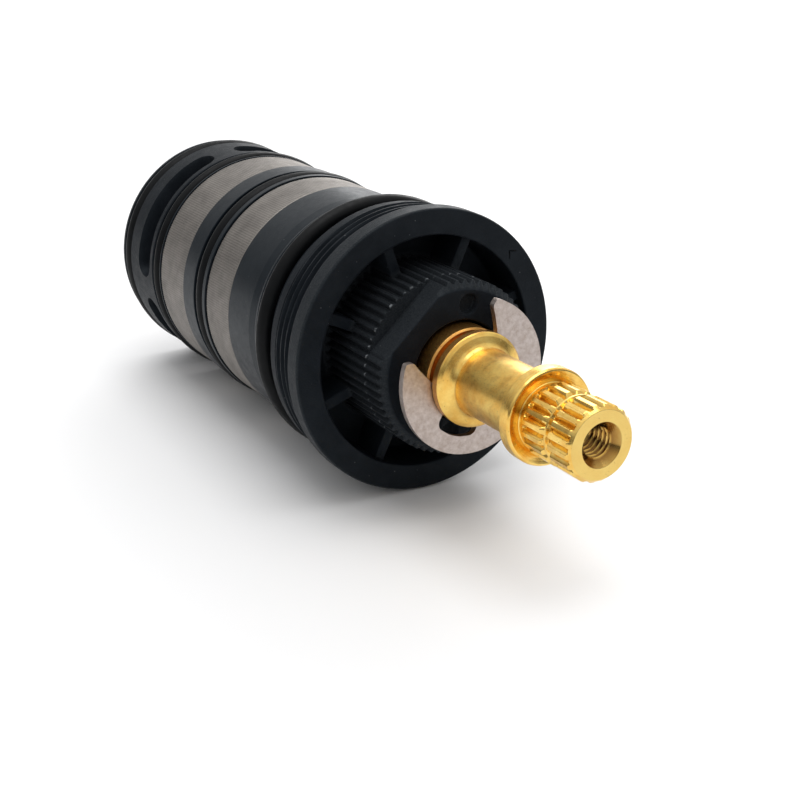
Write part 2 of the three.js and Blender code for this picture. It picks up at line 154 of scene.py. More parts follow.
def grid_object(name, y, r, turn, closed=True, smooth_below=SHARP_ANGLE):
    """A surface from rows of points round the axis. y and r are (rows, sides) arrays in millimetres."""
    rows, sides = y.shape
    x = -r * np.sin(turn)
    z = r * np.cos(turn)
    points = np.stack([x, y, z], -1).reshape(-1, 3) * MM
    count = rows if closed else rows - 1
    i, k = np.meshgrid(np.arange(count), np.arange(sides), indexing="ij")
    down = (i + 1) % rows
    side = (k + 1) % sides
    quads = np.stack([i * sides + k, down * sides + k, down * sides + side, i * sides + side], -1)
    quads = quads.reshape(-1, 4)
    faces = quads.tolist()
    if not closed:
        faces.append(list(range(sides)))
        faces.append(list(range((rows - 1) * sides, rows * sides))[::-1])
    a, b, c, d = (points[quads[:, j]] for j in range(4))
    volume = np.einsum("ij,ij->", a, np.cross(b, c)) + np.einsum("ij,ij->", a, np.cross(c, d))
    if volume < 0:
        faces = [face[::-1] for face in faces]
    return object_from(name, points.tolist(), faces, smooth_below)


def turned(name, corners, sides, warp=None, closed=True, steps=4):
    """A piece turned round the axis. warp(y, r, turn) may reshape it and returns the new y and r."""
    profile = np.array(rounded(corners, steps, closed=closed))
    turn = np.linspace(0, TAU, sides, endpoint=False)
    y = np.repeat(profile[:, :1], sides, 1)
    r = np.maximum(np.repeat(profile[:, 1:], sides, 1), 0.002)
    turn = np.repeat(turn[None, :], len(profile), 0)
    if warp:
        y, r = warp(y, r, turn)
    return grid_object(name, y, r, turn, closed)


def prism(name, outline, y0, y1, bevel=0.0, steps=3):
    """A flat outline of [x, z] points in millimetres, pulled along the axis, with its edges bevelled."""
    count = len(outline)
    points = [(x * MM, y * MM, z * MM) for y in (y0, y1) for x, z in outline]
    area = sum(
        outline[i][0] * outline[(i + 1) % count][1] - outline[(i + 1) % count][0] * outline[i][1]
        for i in range(count)
    )
    front = list(range(count))
    if area > 0:
        front = front[::-1]
    faces = [front[::-1], [i + count for i in front]]
    for i in range(count):
        a, b = front[i], front[(i + 1) % count]
        faces.append([a, b, b + count, a + count])
    made = object_from(name, points, faces)
    if bevel:
        add_bevel(made, bevel, steps)
    return made


def capped_tube(name, points, ring):
    """A closed surface through rings of points, each joined to the next, with its ends capped."""
    faces = []
    for i in range(len(points) // ring - 1):
        for k in range(ring):
            a, b = i * ring + k, i * ring + (k + 1) % ring
            faces.append((a, b, b + ring, a + ring))
    faces += [tuple(range(ring))[::-1], tuple(range(len(points) - ring, len(points)))]
    made = object_from(name, points, faces)
    shape = bmesh.new()
    shape.from_mesh(made.data)
    bmesh.ops.recalc_face_normals(shape, faces=shape.faces)
    shape.to_mesh(made.data)
    shape.free()
    return made


def add_bevel(piece, width, steps):
    modifier = piece.modifiers.new("edges", "BEVEL")
    modifier.width = width * MM
    modifier.segments = steps
    modifier.limit_method = "ANGLE"
    modifier.angle_limit = math.radians(BEVEL_FROM)
    modifier.harden_normals = True


def apply_modifiers(piece):
    seen = piece.evaluated_get(bpy.context.evaluated_depsgraph_get())
    mesh = bpy.data.meshes.new_from_object(seen)
    piece.modifiers.clear()
    piece.data = mesh


def polar(r, degrees):
    """A point across the axis: degrees count from +Z towards -X."""
    return -r * math.sin(math.radians(degrees)), r * math.cos(math.radians(degrees))


def finished(piece, node_name, body, material):
    piece.data.materials.clear()
    piece.data.materials.append(material)
    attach(piece, body)
    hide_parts(node_name)
    return piece


# ---- Material helpers ----
def node(tree, kind, inputs=None, **settings):
    made = tree.nodes.new(kind)
    for key, value in settings.items():
        setattr(made, key, value)
    for socket, value in (inputs or {}).items():
        if isinstance(value, bpy.types.NodeSocket):
            tree.links.new(value, made.inputs[socket])
        else:
            made.inputs[socket].default_value = value
    return made


def calc(tree, operation, a, b=0.0):
    return node(tree, "ShaderNodeMath", {0: a, 1: b}, operation=operation).outputs[0]


def spread(tree, value, low, high, to_low=0.0, to_high=1.0):
    inputs = {"Value": value, "From Min": low, "From Max": high, "To Min": to_low, "To Max": to_high}
    return node(tree, "ShaderNodeMapRange", inputs).outputs[0]


def blend_colour(tree, factor, a, b):
    made = node(tree, "ShaderNodeMix", data_type="RGBA", clamp_factor=True)
    for socket, value in ((0, factor), (6, a), (7, b)):
        if isinstance(value, bpy.types.NodeSocket):
            tree.links.new(value, made.inputs[socket])
        else:
            made.inputs[socket].default_value = value
    return made.outputs[2]


def noise(tree, where, scale, detail=2.0, roughness=0.5):
    inputs = {"Vector": where, "Scale": scale, "Detail": detail, "Roughness": roughness}
    return node(tree, "ShaderNodeTexNoise", inputs).outputs["Fac"]


def bump(tree, height, depth, normal=None):
    """Relief from a height of 0 to 1, depth given in millimetres."""
    inputs = {"Height": height, "Distance": depth * MM, "Strength": 1.0}
    if normal:
        inputs["Normal"] = normal
    return node(tree, "ShaderNodeBump", inputs).outputs[0]


def millimetres(tree):
    coordinates = node(tree, "ShaderNodeTexCoord").outputs["Object"]
    return node(tree, "ShaderNodeVectorMath", {0: coordinates, 3: 1000.0}, operation="SCALE").outputs[0]


def round_the_axis(tree, where):
    """The distance from the axis, the place along it and the angle round it."""
    parts = node(tree, "ShaderNodeSeparateXYZ", {0: where})
    across = node(tree, "ShaderNodeVectorMath", {0: where, 1: (1, 0, 1)}, operation="MULTIPLY").outputs[0]
    distance = node(tree, "ShaderNodeVectorMath", {0: across}, operation="LENGTH").outputs["Value"]
    angle = calc(tree, "ARCTAN2", parts.outputs[0], parts.outputs[2])
    return distance, parts.outputs[1], angle


def colour(red, green, blue):
    """A colour given as it looks on a screen, 0 to 255."""
    def light(value):
        value /= 255
        return value / 12.92 if value < 0.04045 else ((value + 0.055) / 1.055) ** 2.4

    return light(red), light(green), light(blue), 1.0


def new_material(name, **settings):
    material = bpy.data.materials.new(name)
    material.use_nodes = True
    shader = material.node_tree.nodes["Principled BSDF"]
    for key, value in settings.items():
        shader.inputs[key.replace("_", " ")].default_value = value
    return material, material.node_tree, shader


def plug(tree, shader, **sockets):
    for key, value in sockets.items():
        tree.links.new(value, shader.inputs[key.replace("_", " ")])


# ---- Materials: most surfaces drift between a deep and a light tone ----
PLASTIC_DEEP = (0.0053, 0.0071, 0.0098, 1)
PLASTIC_LIGHT = (0.0098, 0.0121, 0.0157, 1)
# Painted light on the bonnet: a lighter sheen with patchy wear, then pale glints for the tooth ends.
PLASTIC_SHEEN_AND_WEAR = (0.024, 0.027, 0.030, 1)
PLASTIC_GLINT = (0.17, 0.18, 0.19, 1)
COOL_GLOSS = (0.80, 0.92, 1.0, 1)
SLEEVE_DEEP = (0.0053, 0.0081, 0.0115, 1)
SLEEVE_LIGHT = (0.0083, 0.0115, 0.0153, 1)
ACETAL_DEEP = colour(214, 211, 200)
ACETAL_LIGHT = colour(228, 226, 218)
DUST = colour(205, 205, 205)
RUBBER_DEEP = (0.0024, 0.0028, 0.0034, 1)
RUBBER_LIGHT = (0.0044, 0.0052, 0.0061, 1)
COPPER_DEEP = (0.62, 0.30, 0.17, 1)
COPPER_LIGHT = (0.78, 0.42, 0.26, 1)
CLIP_DEEP = (0.39, 0.32, 0.28, 1)
CLIP_LIGHT = (0.62, 0.56, 0.535, 1)
SPRING_DEEP = (0.48, 0.47, 0.46, 1)
SPRING_LIGHT = (0.62, 0.61, 0.60, 1)
PAPER_DEEP = (0.86, 0.86, 0.87, 1)
PAPER_LIGHT = (0.9, 0.9, 0.9, 1)
BRASS_DEEP = (0.83, 0.485, 0.105, 1)
BRASS_LIGHT = (0.95, 0.68, 0.2, 1)
BRASS_FACE = (0.73, 0.53, 0.17, 1)
BRASS_PIT = (0.16, 0.08, 0.025, 1)
BRASS_STAIN = (0.50, 0.27, 0.07, 1)
BRASS_TARNISH = (0.66, 0.31, 0.085, 1)
# Painted shade deep in the screw hole.
BRASS_HOLE_SHADE = (0.24, 0.115, 0.032, 1)
MESH_DEEP = (0.215, 0.199, 0.184, 1)
MESH_LIGHT = (0.298, 0.276, 0.254, 1)
# Painted shade for the openings in the wire cloth.
MESH_GAP_SHADE = (0.05, 0.047, 0.045, 1)


def moulded(name, dark, light, roughness, specular, grain, grain_scale=7.0, painted_light_at=None):
    """Moulded plastic: eroded grain, faint blotches of shade and gloss, and a few specks of dust."""
    material, tree, shader = new_material(name, Specular_IOR_Level=specular, Specular_Tint=COOL_GLOSS)
    where = millimetres(tree)
    blotches = noise(tree, where, 0.35, 4, 0.6)
    shade = blend_colour(tree, spread(tree, blotches, 0.35, 0.7), dark, light)
    # Optional painted light: a lighter sheen with patchy wear on the hub sides and rim, and glints at the
    # tooth ends.
    if painted_light_at:
        shade = painted_sheen_and_glints(tree, where, shade, *painted_light_at)
    specks = spread(tree, noise(tree, where, 2.6, 1), 0.79, 0.81, 0, 0.12)
    shade = blend_colour(tree, specks, shade, DUST)
    gloss = spread(tree, noise(tree, where, 0.9, 5, 0.7), 0.3, 0.7, roughness - 0.06, roughness + 0.08)
    relief = bump(tree, noise(tree, where, grain_scale, 3, 0.6), grain)
    plug(tree, shader, Base_Color=shade, Roughness=gloss, Normal=relief)
    return material


def painted_sheen_and_glints(tree, where, shade, hub, face, tooth_ends, rim):
    """Adds a lighter painted sheen, patchy like wear, to the sides of a toothed hub and a rim, and painted
    glints where the teeth end.
    """
    distance, along, _ = round_the_axis(tree, where)
    inside_hub = spread(tree, distance, hub + 0.1, hub + 0.5, 1, 0)
    behind_face = spread(tree, along, face + 0.05, face + 0.25)
    hub_side = calc(tree, "MULTIPLY", inside_hub, behind_face)
    # Painted sheen: a lighter tone in patches on the hub sides and the rim edge.
    sheen_and_wear_side = calc(tree, "MAXIMUM", hub_side, spread(tree, distance, rim - 0.25, rim - 0.1))
    sheen_and_wear_patches = spread(tree, noise(tree, where, 6, 4, 0.75), 0.38, 0.62, 0.1, 1.0)
    shade = blend_colour(tree, calc(tree, "MULTIPLY", sheen_and_wear_patches, sheen_and_wear_side), shade, PLASTIC_SHEEN_AND_WEAR)
    # Painted glints: pale dashes on the tooth crests where the teeth end at the flat.
    from_ends = calc(tree, "ABSOLUTE", calc(tree, "SUBTRACT", along, tooth_ends))
    glints = calc(tree, "MULTIPLY", spread(tree, from_ends, 0.04, 0.14, 1.0, 0.0), hub_side)
    glints = calc(tree, "MULTIPLY", glints, spread(tree, distance, hub - 0.26, hub - 0.08))
    patchy = spread(tree, noise(tree, where, 1.4, 3), 0.42, 0.6)
    return blend_colour(tree, calc(tree, "MULTIPLY", glints, patchy), shade, PLASTIC_GLINT)


def rubber(name, dark, light, roughness):
    """Nitrile rubber: smooth, with wiped-off bloom and a very fine moulding grain."""
    material, tree, shader = new_material(name, Specular_IOR_Level=0.13)
    where = millimetres(tree)
    bloom = noise(tree, where, 0.6, 5, 0.65)
    shade = blend_colour(tree, spread(tree, bloom, 0.4, 0.75), dark, light)
    gloss = spread(tree, noise(tree, where, 1.5, 4), 0.3, 0.7, roughness - 0.08, roughness + 0.1)
    plug(tree, shader, Base_Color=shade, Roughness=gloss)
    plug(tree, shader, Normal=bump(tree, noise(tree, where, 14, 2), 0.003))
    return material


def turning_marks(tree, where, scale):
    """Lines that run round the axis, on faces and on barrels alike."""
    distance, along, _ = round_the_axis(tree, where)
    lines = node(tree, "ShaderNodeCombineXYZ", {0: along, 1: distance}).outputs[0]
    return noise(tree, lines, scale, 3, 0.7)


def brass(name, satin_from, cone_from, cone_to, end):
    """Turned brass: satin and pitted neck, polished cone, tarnish behind it, paler end, and painted shade
    in the bore.
    """
    material, tree, shader = new_material(name, Metallic=1.0)
    where = millimetres(tree)
    distance, along, _ = round_the_axis(tree, where)
    stain = noise(tree, where, 0.7, 5, 0.65)
    gold = blend_colour(tree, spread(tree, stain, 0.35, 0.7), BRASS_DEEP, BRASS_LIGHT)
    satin_start = spread(tree, along, satin_from - 0.4, satin_from + 0.4)
    satin_end = spread(tree, along, cone_from - 1.0, cone_from + 1.0, 1.0, 0.3)
    satin = calc(tree, "MULTIPLY", satin_start, satin_end)
    stained = spread(tree, noise(tree, where, 0.55, 6, 0.7), 0.5, 0.66, 0.0, 0.6)
    gold = blend_colour(tree, calc(tree, "MULTIPLY", stained, satin), gold, BRASS_STAIN)
    behind = spread(tree, along, cone_to, cone_to + 0.1)
    satin = calc(tree, "MAXIMUM", satin, behind)
    tarnish = spread(tree, noise(tree, where, 1.6, 5, 0.7), 0.25, 0.6, 0.45, 0.95)
    gold = blend_colour(tree, calc(tree, "MULTIPLY", tarnish, behind), gold, BRASS_TARNISH)
    pits = node(tree, "ShaderNodeTexVoronoi", {"Vector": where, "Scale": 3.2, "Randomness": 1.0})
    near = spread(tree, noise(tree, where, 0.6, 2), 0.54, 0.6)
    pit = calc(tree, "MULTIPLY", spread(tree, pits.outputs["Distance"], 0.12, 0.2, 1, 0), near)
    gold = blend_colour(tree, calc(tree, "MULTIPLY", pit, 0.7), gold, BRASS_PIT)
    gold = brass_end(tree, gold, distance, along, end)
    lines = turning_marks(tree, where, 9)
    frost = noise(tree, where, 11, 3, 0.7)
    bright = spread(tree, lines, 0.3, 0.7, 0.13, 0.26)
    matt = spread(tree, frost, 0.3, 0.7, 0.24, 0.38)
    gloss = node(tree, "ShaderNodeMix", {0: satin, 2: bright, 3: matt}).outputs[0]
    relief = bump(tree, lines, 0.006)
    frosted = calc(tree, "MULTIPLY", frost, calc(tree, "ADD", calc(tree, "MULTIPLY", satin, 0.8), 0.2))
    relief = bump(tree, frosted, 0.007, relief)
    relief = bump(tree, calc(tree, "SUBTRACT", 1.0, pit), 0.02, relief)
    plug(tree, shader, Base_Color=gold, Roughness=gloss, Normal=relief)
    return material


def brass_end(tree, gold, distance, along, end):
    """A paler end face, and painted shade in the screw hole: darker with depth, lighter on the thread
    crests.
    """
    face = spread(tree, along, end + 0.03, end + 0.06, 0.7, 0.0)
    gold = blend_colour(tree, face, gold, BRASS_FACE)
    # Painted shade: the hole darkens with depth, less on the thread crests.
    deep = spread(tree, along, end + 0.05, end + 0.8, 0.6, 0.95)
    inside = calc(tree, "MULTIPLY", deep, spread(tree, distance, 2.4, 2.5, 1.0, 0.0))
    inside = calc(tree, "MULTIPLY", inside, spread(tree, distance, 1.64, 1.8, 0.3, 1.0))
    return blend_colour(tree, inside, gold, BRASS_HOLE_SHADE)


def metal(name, deep, light, roughness, marks, depth=0.004, turned_marks=False):
    """Plain metal: tumbled and finely scratched, or turned."""
    material, tree, shader = new_material(name, Metallic=1.0)
    where = millimetres(tree)
    cloud = noise(tree, where, 1.7, 8, 0.8)
    tone = blend_colour(tree, spread(tree, cloud, 0.35, 0.7), deep, light)
    gloss = spread(tree, noise(tree, where, 2.2, 5, 0.7), 0.3, 0.7, roughness - 0.07, roughness + 0.1)
    if turned_marks:
        scratches = turning_marks(tree, where, marks)
    else:
        stretched = node(tree, "ShaderNodeVectorMath", {0: where, 1: (1, 1, 0.25)}, operation="MULTIPLY")
        scratches = noise(tree, stretched.outputs[0], marks, 4, 0.75)
    plug(tree, shader, Base_Color=tone, Roughness=gloss, Normal=bump(tree, scratches, depth))
    return material


def woven_wire(name, wires, pitch):
    """Stainless wire cloth: the wires are relief in the mesh itself, and the openings between them get
    painted shade.
    """
    material, tree, shader = new_material(name, Metallic=1.0)
    where = millimetres(tree)
    _, along, angle = round_the_axis(tree, where)
    half_turns = calc(tree, "MULTIPLY", angle, wires / 2)
    half_rows = calc(tree, "MULTIPLY", along, math.pi / pitch)
    gap_round = calc(tree, "ABSOLUTE", calc(tree, "SINE", half_turns))
    gap_along = calc(tree, "ABSOLUTE", calc(tree, "SINE", half_rows))
    # Painted shade in the openings between the wires, where the cloth has no holes.
    opening = spread(tree, calc(tree, "MULTIPLY", gap_round, gap_along), 0.4, 1.0, 0.0, 0.55)
    cloud = noise(tree, where, 0.4, 4, 0.6)
    wire = blend_colour(tree, spread(tree, cloud, 0.3, 0.7), MESH_DEEP, MESH_LIGHT)
    plug(tree, shader, Base_Color=blend_colour(tree, opening, wire, MESH_GAP_SHADE))
    gloss = spread(tree, noise(tree, where, 1.2, 4), 0.3, 0.7, 0.46, 0.6)
    plug(tree, shader, Roughness=gloss, Normal=bump(tree, noise(tree, where, 9, 2), 0.004))
    return material


# ---- Shapes shared by several pieces ----
def o_ring(node_name, material, body="housing", sides=160):
    """A ring of round section with the thin line where its mould parts."""
    front, back, outside = span(node_name)
    section = (back - front) / 2
    flash, line_width = 0.03, 0.09
    around = np.linspace(0, TAU, 40, endpoint=False)
    line = 1 + flash * np.exp(-((np.minimum(around, TAU - around) / line_width) ** 2))
    line += flash * np.exp(-(((around - math.pi) / line_width) ** 2))
    y = (front + back) / 2 + section * np.sin(around) * line
    r = outside - section + section * np.cos(around) * line
    turn = np.linspace(0, TAU, sides, endpoint=False)
    shape = (len(around), sides)
    y = np.broadcast_to(y[:, None], shape)
    r = np.broadcast_to(r[:, None], shape)
    turn = np.broadcast_to(turn[None, :], shape)
    made = grid_object(node_name + ".ring", y, r, turn, smooth_below=80)
    return finished(made, node_name, body, material)


def thread_height(y, turn, pitch, left_hand=False):
    """0 in the root of the thread and 1 on its crest."""
    phase = y / pitch + (-1 if left_hand else 1) * turn / TAU
    rise = np.abs(2 * (phase - np.floor(phase)) - 1)
    return np.clip(1.7 * rise - 0.35, 0, 1)


def rows_between(y0, y1, r, count):
    return [(y0 + (y1 - y0) * i / count, r) for i in range(count + 1)]


def coil(node_name, body, material, turns, wire):
    """A compression spring of round wire, given as its radius. The first and last turn close up."""
    name = node_name + ".wire"
    front, back, outside = span(node_name)
    steps_per_turn = 56
    t = np.linspace(0, 1, int(turns * steps_per_turn) + 1)
    share = 1 / turns
    rise = np.clip((t - share) / (1 - 2 * share), 0, 1)
    rise = rise * rise * (3 - 2 * rise) * 0.6 + rise * 0.4
    closed_pitch = 2 * wire * 0.95
    along = front + wire + closed_pitch * np.clip(t / share, 0, 1) * 0.5
    length = back - front - 2 * wire
    middle = length - closed_pitch
    along = along + rise * middle + closed_pitch * 0.5 * np.clip((t - 1 + share) / share, 0, 1)
    turn = TAU * turns * t
    radius = outside - wire
    points = np.stack([radius * np.sin(turn), along, radius * np.cos(turn)], -1)
    curve = bpy.data.curves.new(name, "CURVE")
    curve.dimensions = "3D"
    curve.bevel_depth = wire * MM
    curve.bevel_resolution = 5
    curve.use_fill_caps = True
    line = curve.splines.new("POLY")
    line.points.add(len(points) - 1)
    for point, place in zip(line.points, points * MM):
        point.co = (*place, 1)
    drawn = bpy.data.objects.new(name + ".path", curve)
    bpy.context.collection.objects.link(drawn)
    mesh = bpy.data.meshes.new_from_object(drawn.evaluated_get(bpy.context.evaluated_depsgraph_get()))
    bpy.data.objects.remove(drawn)
    mesh.name = name
    mesh.shade_smooth()
    mesh.set_sharp_from_angle(angle=math.radians(50))
    made = bpy.data.objects.new(name, mesh)
    bpy.context.collection.objects.link(made)
    return finished(made, node_name, body, material)


# ---- Bonnet ----
HUB_R = 10.2
HUB_TEETH = 60
HUB_FLAT_TURN = 43
BODY_PITCH = 1.1
BODY_THREAD_DEPTH = 0.68
RIBS = 8
RIB_TURN = 20
DIMPLE_TURN = -9


def bonnet(material):
    face, skirt, rim = span("bonnet")
    flange = face + HUB_LENGTH
    seat = flange + 2.4
    thread_end, collar_end = seat + 4.7, seat + 6.0
    gland_from, gland_to = seat + 8.0, seat + 11.3
    floor = flange + 6.0
    step = face + 3.5
    hub, hub_root, bore, skirt_bore = HUB_R, 9.76, 5.7, 7.9
    recess_floor_r, recess_mouth_r, flat_away = 13.75, 13.9, 8.37
    thread_r, collar_r, land_r, seal_root, skirt_r = 15.7, 16.2, 15.2, 13.7, 13.2
    outside = [
        (face, bore, 0.2), (face, hub - 1.05, 0.1), (face + 0.7, hub, 0.1),
        (step - 0.02, hub), (step + 0.02, hub - 0.14), (step + 0.16, hub), (floor, hub, 0.35),
        (floor, recess_floor_r, 0.4), (flange, recess_mouth_r, 0.22), (flange, rim, 0.3), (seat, rim, 0.22),
        (seat, thread_r, 0.05), *rows_between(seat + 0.1, thread_end, thread_r, 42),
        (seat + 4.74, collar_r, 0.06), (collar_end, collar_r, 0.15), (collar_end, land_r, 0.15),
        (gland_from, land_r, 0.1), (gland_from, seal_root, 0.2), (gland_to, seal_root, 0.1),
        (gland_to, skirt_r, 0.1), (skirt, skirt_r, 0.3), (skirt, skirt_bore, 0.3),
        (seat + 6.2, skirt_bore, 0.2), (seat + 6.2, bore, 0.2),
    ]

    def warp(y, r, turn):
        on_hub = (y < floor - 0.3) & (r > hub - 1.2) & (r < hub + 0.01)
        place = (turn / TAU * HUB_TEETH) % 1
        tooth = np.clip(2.2 * np.abs(2 * place - 1) - 0.6, 0, 1)
        toothed = np.minimum(r, hub_root + (hub - hub_root) * tooth)
        from_flat = np.abs(np.cos(turn - math.radians(HUB_FLAT_TURN)))
        away = flat_away - np.clip(0.1 - (y - face), 0, 0.1)
        flat = np.minimum(toothed, away / np.maximum(from_flat, 0.3))
        r = np.where(on_hub, np.where(y < step, flat, toothed), r)
        threaded = (y > seat + 0.05) & (y < seat + 4.72) & (np.abs(r - thread_r) < 0.01)
        fade = np.clip((y - seat - 0.1) / 0.3, 0, 1)
        ridge = BODY_THREAD_DEPTH * thread_height(y, turn, BODY_PITCH) * fade
        return y, np.where(threaded, r + ridge, r)

    made = turned("bonnet.shell", outside, HUB_TEETH * 8, warp, steps=3)
    ribs = [rib(RIB_TURN + 360 / RIBS * i, flange + 1.2, floor + 0.3) for i in range(RIBS)]
    join_by_boolean(made, ribs, "UNION")
    dimple_ring, dimple_r, dimple_depth = 7.55, 1.2, 1.0
    keyway, keyway_top, keyway_from = 2.6, 9.4, seat + 9
    cutters = []
    for side in (0, 180):
        x, z = polar(dimple_ring, DIMPLE_TURN + side)
        cutters.append(dimple(x, face, z, dimple_r, dimple_depth))
        cutters.append(prism("key", box_outline(keyway, 5, keyway_top, side), keyway_from, skirt + 1))
    cutters.append(setting_mark(flange))
    join_by_boolean(made, cutters, "DIFFERENCE")
    return finished(made, "bonnet", "housing", material)


def box_outline(width, r0, r1, degrees):
    """The four corners of a block that stands out from the axis at an angle."""
    out = Vector(polar(1, degrees))
    side = Vector((-out.y, out.x)) * width / 2
    corners = [out * r0 - side, out * r1 - side, out * r1 + side, out * r0 + side]
    return [tuple(c) for c in corners]


def rib(degrees, front, back):
    thickness, inner, outer = 1.3, 9.6, 14.05
    return prism("rib", box_outline(thickness, inner, outer, degrees), front, back, 0.16, 2)


def dimple(x, face, z, radius, depth):
    """A cutter for a blind round hole with a softly rounded mouth."""
    count = 48
    rows = [(-0.4, 1.1), (0.0, 1.1), (0.06, 1.02), (0.12, 1.0), (depth - 0.15, 1.0), (depth, 0.88)]
    points = []
    for along, share in rows:
        for k in range(count):
            t = TAU * k / count
            points.append((
                (x + radius * share * math.cos(t)) * MM, (face + along) * MM,
                (z + radius * share * math.sin(t)) * MM,
            ))
    return capped_tube("dimple", points, count)


def setting_mark(flange):
    """Cutter for the small arrow head moulded into the flange."""
    place, lean, arm, line, depth = -46, 42, 0.95, 0.2, 0.18
    turn = math.radians(place + 90)
    middle = Vector(polar(15.4, place))
    arms = []
    for leaning in (turn + math.radians(-lean), turn + math.radians(lean)):
        along = Vector((-math.sin(leaning), math.cos(leaning)))
        arms.append(middle - along * arm)
    forward = Vector((-math.sin(turn), math.cos(turn)))
    tip = middle + forward * 0.1
    outline = [tip, arms[0], arms[0] - forward * line, tip - forward * line * 1.4]
    outline += [arms[1] - forward * line, arms[1]]
    return prism("mark", [tuple(p) for p in outline], flange - 0.4, flange + depth)


def join_by_boolean(piece, others, operation):
    """Cuts or adds several shapes, which must not touch one another, in one step."""
    for other in others:
        apply_modifiers(other)
    tool = others[0]
    if len(others) > 1:
        points, faces = [], []
        for other in others:
            first = len(points)
            points += [tuple(v.co) for v in other.data.vertices]
            faces += [[first + i for i in face.vertices] for face in other.data.polygons]
        tool = object_from("tool", points, faces)
    modifier = piece.modifiers.new("with", "BOOLEAN")
    modifier.operation = operation
    modifier.object = tool
    modifier.solver = "MANIFOLD"
    apply_modifiers(piece)
    for used in {*others, tool}:
        bpy.data.objects.remove(used)
    piece.data.set_sharp_from_angle(angle=math.radians(SHARP_ANGLE))


# ---- Spindle ----
SPLINE_TEETH = 20
SPLINE_TIP = 4.15
SPLINE_ROOT = 3.5
SCREW_BORE = 1.6
SCREW_ROOT = 2.0
SCREW_PITCH = 0.7
DRIVE_R = 3.6
DRIVE_PITCH = 2.5
DRIVE_DEPTH = 0.6


def spindle(material):
    end, tail, _ = span("spindle")
    groove = end + 4.4
    foot = end + 8.4
    collar = foot + 0.25
    collar_back = collar + 1.95
    flare = end + 22.15
    clip_groove, journal, seals_end = flare + 1.1, flare + 2.2, 7.0
    shoulder = 8.6
    tip, neck_r, collar_r, flare_r, clip_seat = SPLINE_TIP, 3.9, 5.36, 5.52, 4.1
    journal_r, seal_root, shoulder_r = 5.4, 4.0, 7.2
    seals = (-4, 1)
    outside = [
        (end + 11.8, 0.3), (end + 11.2, SCREW_BORE),
        *rows_between(end + 8.0, end + 0.95, SCREW_BORE, 82),
        (end + 0.75, SCREW_BORE + 0.2), (end, 2.45, 0.05), (end, 3.7, 0.04), (end + 0.3, 3.945),
        (end + 0.55, tip, 0.04), (end + 0.8, tip),
        (groove - 0.9, tip, 0.03), (groove - 0.5, 3.62, 0.03), (groove - 0.3, 3.56, 0.05),
        (groove - 0.13, 3.92, 0.04), (groove + 0.07, 3.92, 0.04), (groove + 0.2, 3.66, 0.04),
        (groove + 0.6, tip, 0.03), (foot - 0.5, tip, 0.03), (foot - 0.2, 3.85, 0.05),
        (foot - 0.05, 3.64, 0.05), (foot + 0.56, 3.64, 0.04), (foot + 0.5, 3.78, 0.03),
        (foot + 0.6, 3.86, 0.03), (collar + 0.04, 5.08, 0.06), (collar + 0.08, 5.24, 0.06),
        (collar + 0.3, collar_r, 0.12), (collar_back - 0.25, collar_r, 0.2), (collar_back, 5.0, 0.2),
        (collar_back + 0.3, 4.4, 0.4), (collar_back + 0.9, neck_r, 0.7),
        (flare - 0.75, neck_r, 1.5), (flare - 0.25, 5.1, 0.12), (flare - 0.03, 5.4, 0.06),
        (flare + 0.1, flare_r, 0.06), (clip_groove - 0.12, flare_r, 0.04), (clip_groove, 5.42, 0.05),
        (clip_groove, clip_seat, 0.1), (journal, clip_seat, 0.1), (journal, 5.15, 0.06),
        (journal + 0.2, 5.36, 0.06), (journal + 1.8, 5.38), (journal + 2.2, journal_r),
    ]
    for y in seals:
        outside += [(y - 1, journal_r, 0.12), (y - 1, seal_root, 0.12)]
        outside += [(y + 1, seal_root, 0.12), (y + 1, journal_r, 0.12)]
    outside += [
        (seals_end, journal_r, 0.1), (seals_end, shoulder_r, 0.15), (shoulder, shoulder_r, 0.2),
        (shoulder, DRIVE_R, 0.1), *rows_between(shoulder + 0.5, tail - 0.5, DRIVE_R, 44),
        (tail, 3.4, 0.1), (tail, 0.3),
    ]

    def warp(y, r, turn):
        r = splined(y, r, turn, end, groove, foot)
        r = tapped(y, r, turn, end)
        return y, drive_screw(y, r, turn, shoulder, tail)

    made = turned("spindle.shaft", outside, SPLINE_TEETH * 12, warp, closed=False)
    return finished(made, "spindle", "spindle", material)


def splined(y, r, turn, end, groove, foot):
    """Cuts the valleys between the teeth, which fade out at the end and spare the ring in the groove."""
    place = (turn / TAU * SPLINE_TEETH) % 1
    tooth = np.clip(np.minimum(place, 1 - place) / 0.3, 0, 1)
    ring = np.abs(y - groove + 0.03) < 0.13
    toothed = (y < foot - 0.3) & (r > 2.6) & ~ring
    runout = np.clip((0.62 - (y - end)) / 0.32, 0, 1) * 0.9
    valley = SPLINE_ROOT + (SPLINE_TIP + 0.01 - SPLINE_ROOT) * np.maximum(tooth, runout)
    return np.where(toothed, np.minimum(r, valley), r)


def tapped(y, r, turn, end):
    """Cuts the screw thread into the hole in the end."""
    holed = (y < end + 8.01) & (y > end + 0.8) & (r < 1.7)
    fade = np.clip((y - end - 0.9) / 0.3, 0, 1)
    wave = 0.5 + 0.5 * np.cos(turn + TAU * y / SCREW_PITCH)
    return np.where(holed, r + (SCREW_ROOT - SCREW_BORE) * (1 - wave ** 1.4) * fade, r)


def drive_screw(y, r, turn, shoulder, tail):
    """Raises the left-hand thread that drives the regulating nut."""
    driven = (y > shoulder + 0.4) & (y < tail - 0.4) & (r > 3.5) & (r < 3.7)
    fade = np.clip((y - shoulder - 0.5) / 0.4, 0, 1) * np.clip((tail - 0.5 - y) / 0.6, 0, 1)
    ridge = DRIVE_DEPTH * thread_height(y, turn, DRIVE_PITCH, left_hand=True) * fade
    return np.where(driven, r + ridge, r)


